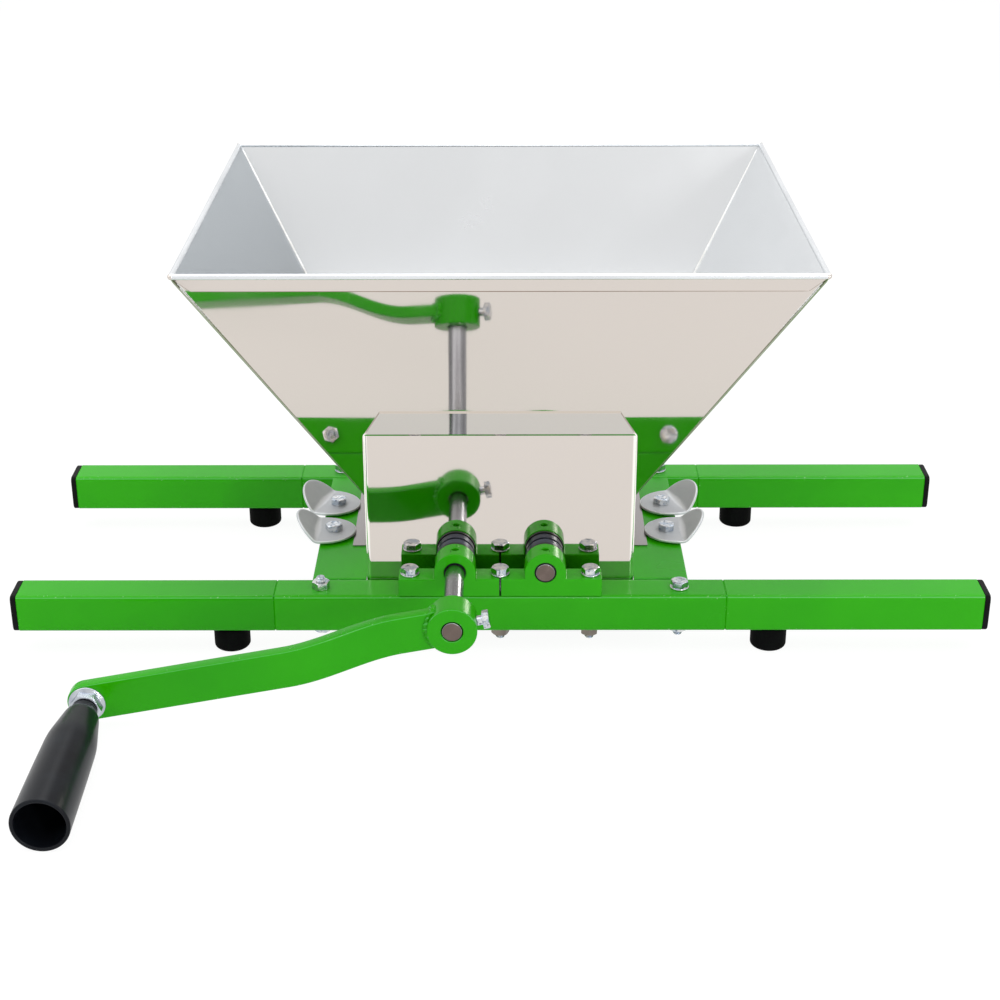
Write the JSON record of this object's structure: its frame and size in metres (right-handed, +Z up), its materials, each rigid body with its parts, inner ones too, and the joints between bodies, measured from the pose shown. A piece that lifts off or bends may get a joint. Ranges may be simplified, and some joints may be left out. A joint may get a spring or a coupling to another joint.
{
  "type": "apple scratter",
  "caption": "Hand cranked fruit crusher: toothed rollers under a sheet steel hopper on a square tube frame with rubber feet.",
  "frame": {"origin": "middle of the whole object's box, at the floor under the feet", "axes": "+X along the rails to the right seen from the crank, +Y from the crank side to the back, +Z up"},
  "size_m": [0.62, 0.4758, 0.2673],
  "materials": {
    "green_paint": "gloss powder coat",
    "polished_steel": "mirror polished",
    "ground_steel": "turned and ground",
    "blade_steel": "satin",
    "gear_iron": "machined",
    "collar_steel": "blued",
    "zinc_plate": "bright zinc plate",
    "black_plastic": "fine texture",
    "grip_plastic": "satin moulding",
    "black_rubber": "matt"
  },
  "bodies": {
    "frame": {"front_rail": "green_paint", "rear_rail": "green_paint", "side_plate_left": "green_paint", "side_plate_right": "green_paint", "leg_front_left": "green_paint", "leg_front_right": "green_paint", "leg_rear_left": "green_paint", "leg_rear_right": "green_paint", "end_caps": "black_plastic", "feet": "black_rubber", "foot_screws": "zinc_plate", "leg_bolts": "zinc_plate", "leg_washers": "zinc_plate", "leg_nuts": "zinc_plate", "block_front_left": "green_paint", "block_front_right": "green_paint", "block_rear_left": "green_paint", "block_rear_right": "green_paint", "block_bolts": "zinc_plate", "block_washers": "zinc_plate", "block_nuts": "zinc_plate", "bearing_bushes": "black_plastic", "hopper": "polished_steel", "gear_guard": "polished_steel", "latch_bolts": "zinc_plate", "latch_washers": "zinc_plate", "latch_nuts": "zinc_plate"},
    "crank": {"drive_shaft": "ground_steel", "drive_drum": "ground_steel", "drive_blades": "blade_steel", "drive_gear": "gear_iron", "drive_collars": "collar_steel", "drive_gear_screw": "zinc_plate", "crank_arm": "green_paint", "crank_set_screw": "zinc_plate", "grip_spindle": "zinc_plate", "grip_nut": "zinc_plate"},
    "grip": {"grip": "grip_plastic"},
    "driven_roller": {"driven_shaft": "ground_steel", "driven_drum": "ground_steel", "driven_blades": "blade_steel", "driven_gear": "gear_iron", "driven_collars": "collar_steel", "driven_gear_screw": "zinc_plate"},
    "latch_front_left": {"latch_front_left": "zinc_plate"},
    "latch_front_right": {"latch_front_right": "zinc_plate"},
    "latch_rear_left": {"latch_rear_left": "zinc_plate"},
    "latch_rear_right": {"latch_rear_right": "zinc_plate"}
  },
  "joints": [
    {"name": "crank_spin", "type": "hinge", "parent": "frame", "child": "crank", "pos_m": [-0.0284, -0.02192, 0.0575], "axis": [0, 1, 0], "continuous": true},
    {"name": "driven_spin", "type": "hinge", "parent": "frame", "child": "driven_roller", "pos_m": [0.0284, -0.02192, 0.0575], "axis": [0, 1, 0], "continuous": true},
    {"name": "grip_spin", "type": "hinge", "parent": "crank", "child": "grip", "pos_m": [-0.2446, -0.12, 0.0168], "axis": [0, 1, 0], "continuous": true},
    {"name": "latch_front_left_turn", "type": "hinge", "parent": "frame", "child": "latch_front_left", "pos_m": [-0.112, 0.07008, 0.043], "axis": [0, 0, 1], "range_deg": [0, 180]},
    {"name": "latch_front_right_turn", "type": "hinge", "parent": "frame", "child": "latch_front_right", "pos_m": [0.112, 0.07008, 0.043], "axis": [0, 0, 1], "range_deg": [-180, 0]},
    {"name": "latch_rear_left_turn", "type": "hinge", "parent": "frame", "child": "latch_rear_left", "pos_m": [-0.112, 0.11208, 0.043], "axis": [0, 0, 1], "range_deg": [-162, 0]},
    {"name": "latch_rear_right_turn", "type": "hinge", "parent": "frame", "child": "latch_rear_right", "pos_m": [0.112, 0.11208, 0.043], "axis": [0, 0, 1], "range_deg": [0, 162]}
  ],
  "couplings": [
    {"joint": "driven_spin", "follows": "crank_spin", "ratio": -1}
  ]
}
